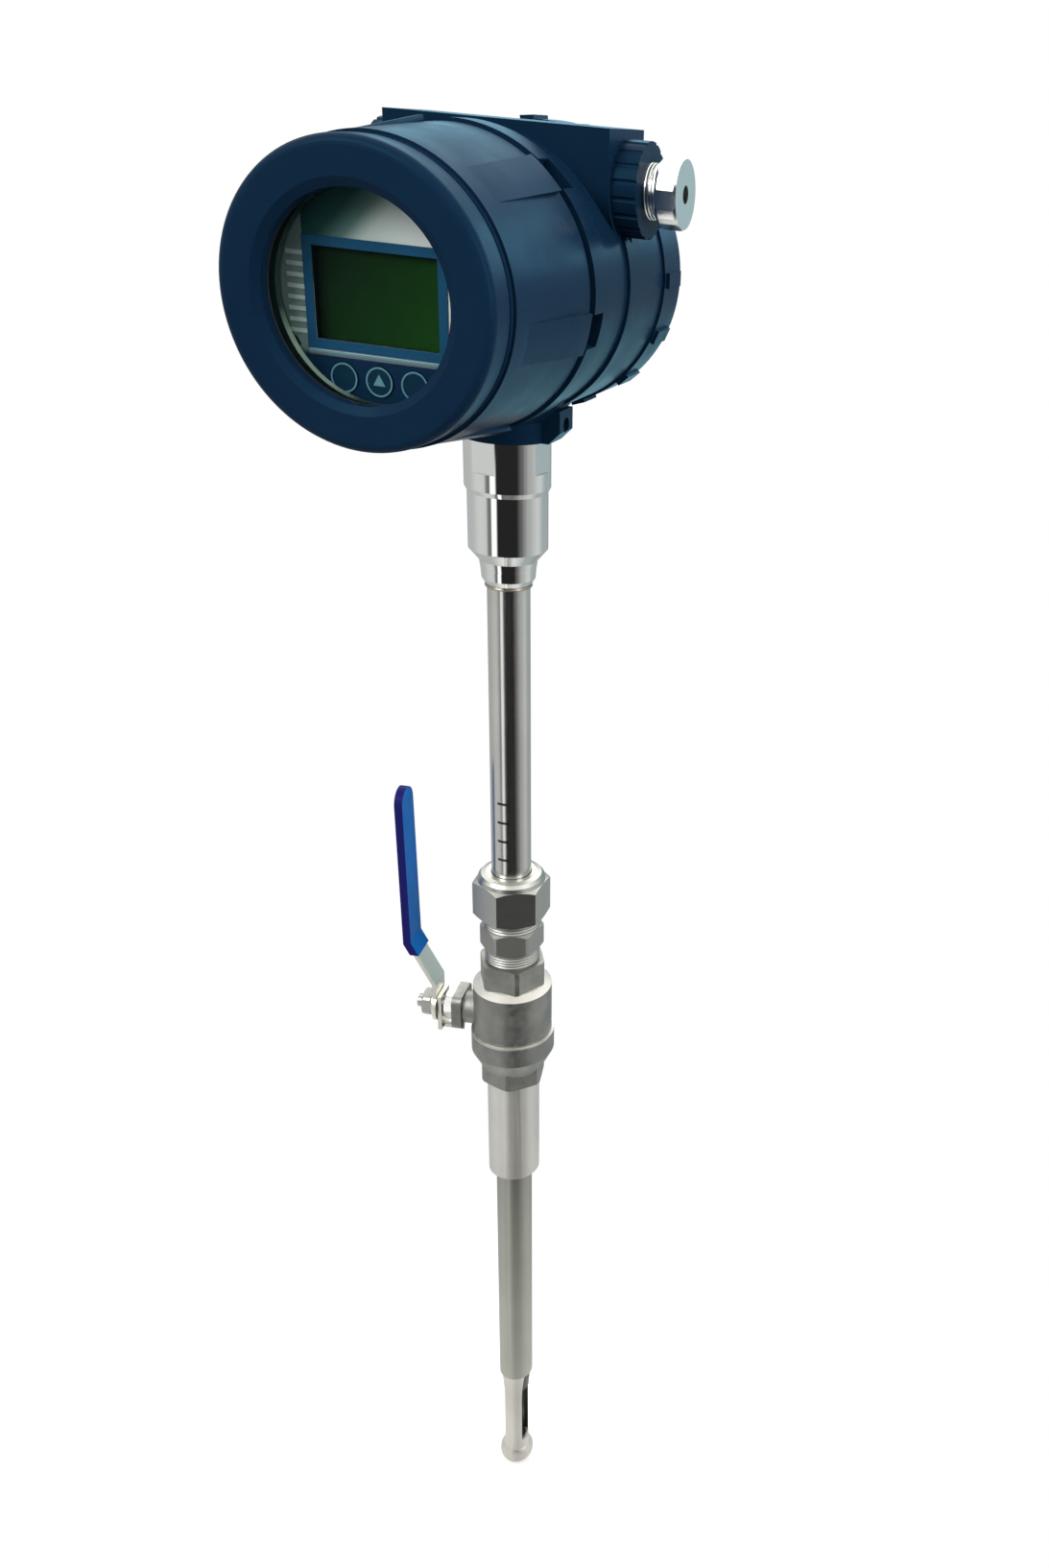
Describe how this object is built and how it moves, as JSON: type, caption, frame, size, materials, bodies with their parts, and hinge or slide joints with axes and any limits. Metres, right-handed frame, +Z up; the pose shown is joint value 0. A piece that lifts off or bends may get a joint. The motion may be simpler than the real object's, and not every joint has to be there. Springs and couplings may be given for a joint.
{
  "type": "thermal mass flow meter",
  "caption": "Insertion thermal mass flow meter: display head with screw covers and cable gland on a long probe tube, sealed by a compression fitting on a ball valve with a sleeved lever.",
  "frame": {"origin": "centre of the process nipple's lower end, on the probe's axis", "axes": "+Z up along the probe towards the head, -Y the way the display looks, +X the side of the cable gland"},
  "size_m": [0.1311, 0.177, 0.753],
  "materials": {
    "blue_paint": "dark blue powder coat, satin",
    "stainless_satin": "drawn stainless, satin",
    "stainless_polished": "turned stainless, bright",
    "cast_stainless": "investment cast stainless, blasted",
    "lever_steel": "pressed stainless strip, satin",
    "dark_steel": "blackened screw steel",
    "nickel_plated": "nickel plated brass, satin",
    "brass_screw": "bright brass",
    "vinyl_blue": "dipped blue vinyl, semi gloss",
    "black_rubber": "matt",
    "ptfe": "smooth white",
    "cable_jacket": "smooth",
    "black_plastic": "moulded, fine grain",
    "window_glass": "toughened clear glass",
    "display_plate": "printed film on a plate",
    "display_blue": "semi gloss",
    "lcd_dark": "dark liquid crystal panel",
    "key_plastic": "semi gloss",
    "circuit_board": "green solder mask"
  },
  "bodies": {
    "valve": {"process_nipple": "stainless_satin", "valve_end_cap": "cast_stainless", "valve_body": "cast_stainless", "body_seal": "ptfe", "valve_seats": "ptfe", "stem_washer": "ptfe", "stem_packing": "ptfe", "packing_nut": "stainless_polished", "fitting_body": "stainless_polished", "compression_nut": "stainless_polished", "front_ferrule": "stainless_satin", "back_ferrule": "stainless_satin"},
    "valve_core": {"valve_ball": "stainless_polished", "valve_stem": "stainless_satin", "lever": "lever_steel", "lever_grip": "vinyl_blue", "lever_washer": "stainless_satin", "lever_nut": "stainless_polished"},
    "lever_lock": {"lock_slide": "lever_steel"},
    "probe_head": {"probe_tube": "stainless_satin", "sensor_plug": "stainless_satin", "heated_pin": "stainless_satin", "reference_pin": "stainless_satin", "sensor_shield": "stainless_satin", "sensor_cable": "cable_jacket", "neck_adapter": "stainless_polished", "neck_seal": "black_rubber", "neck_lock_screw": "dark_steel", "cable_feedthrough": "black_plastic", "housing_body": "blue_paint", "cover_lock_screws": "dark_steel", "display_faceplate": "display_plate", "lcd_frame": "display_blue", "lcd_panel": "lcd_dark", "key_pad": "black_rubber", "display_board": "circuit_board", "display_standoffs": "nickel_plated", "display_screws": "nickel_plated", "electronics_cup": "black_plastic", "main_board": "circuit_board", "power_board": "circuit_board", "module_screws": "nickel_plated", "partition_feedthrough": "black_plastic", "terminal_block": "black_plastic", "terminal_screws": "nickel_plated", "ground_screw": "brass_screw", "blanking_plug": "nickel_plated", "gland_body": "nickel_plated", "gland_seal": "black_rubber", "gland_nut": "nickel_plated"},
    "front_seal": {"front_cover_oring": "black_rubber"},
    "front_lid": {"front_cover": "blue_paint", "window_gasket": "black_rubber", "window_glass": "window_glass", "window_retaining_ring": "stainless_satin"},
    "rear_seal": {"rear_cover_oring": "black_rubber"},
    "rear_lid": {"rear_cover": "blue_paint"},
    "key_one": {"key_left": "key_plastic"},
    "key_two": {"key_middle": "key_plastic"},
    "key_three": {"key_right": "key_plastic"}
  },
  "joints": [
    {"name": "probe_insertion", "type": "slide", "parent": "valve", "child": "probe_head", "axis": [0, 0, 1], "range_m": [-0.14, 0.31]},
    {"name": "valve_stem_turn", "type": "hinge", "parent": "valve", "child": "valve_core", "pos_m": [0, 0, 0.1005], "axis": [-0.9903, -0.1392, 0], "range_deg": [-2.5, 2.5]},
    {"name": "lever_lock_slide", "type": "slide", "parent": "valve_core", "child": "lever_lock", "axis": [0, 0, 1], "range_m": [0, 0.0028]},
    {"name": "front_cover_turn", "type": "hinge", "parent": "front_seal", "child": "front_lid", "pos_m": [0, -0.08, 0.46], "axis": [0, -1, 0], "range_deg": [0, 2160]},
    {"name": "front_cover_slide", "type": "slide", "parent": "probe_head", "child": "front_seal", "axis": [0, -1, 0], "range_m": [0, 0.012]},
    {"name": "rear_cover_turn", "type": "hinge", "parent": "rear_seal", "child": "rear_lid", "pos_m": [0, 0.045, 0.46], "axis": [0, 1, 0], "range_deg": [0, 2160]},
    {"name": "rear_cover_slide", "type": "slide", "parent": "probe_head", "child": "rear_seal", "axis": [0, 1, 0], "range_m": [0, 0.012]},
    {"name": "key_left_press", "type": "slide", "parent": "probe_head", "child": "key_one", "axis": [0, 1, 0], "range_m": [0, 0.0005], "stiffness_N_per_m": 600, "springref_m": -0.0002},
    {"name": "key_middle_press", "type": "slide", "parent": "probe_head", "child": "key_two", "axis": [0, 1, 0], "range_m": [0, 0.0005], "stiffness_N_per_m": 600, "springref_m": -0.0002},
    {"name": "key_right_press", "type": "slide", "parent": "probe_head", "child": "key_three", "axis": [0, 1, 0], "range_m": [0, 0.0005], "stiffness_N_per_m": 600, "springref_m": -0.0002}
  ],
  "couplings": [
    {"joint": "front_cover_slide", "follows": "front_cover_turn", "m_per_rad": 0.0003183},
    {"joint": "rear_cover_slide", "follows": "rear_cover_turn", "m_per_rad": 0.0003183}
  ]
}
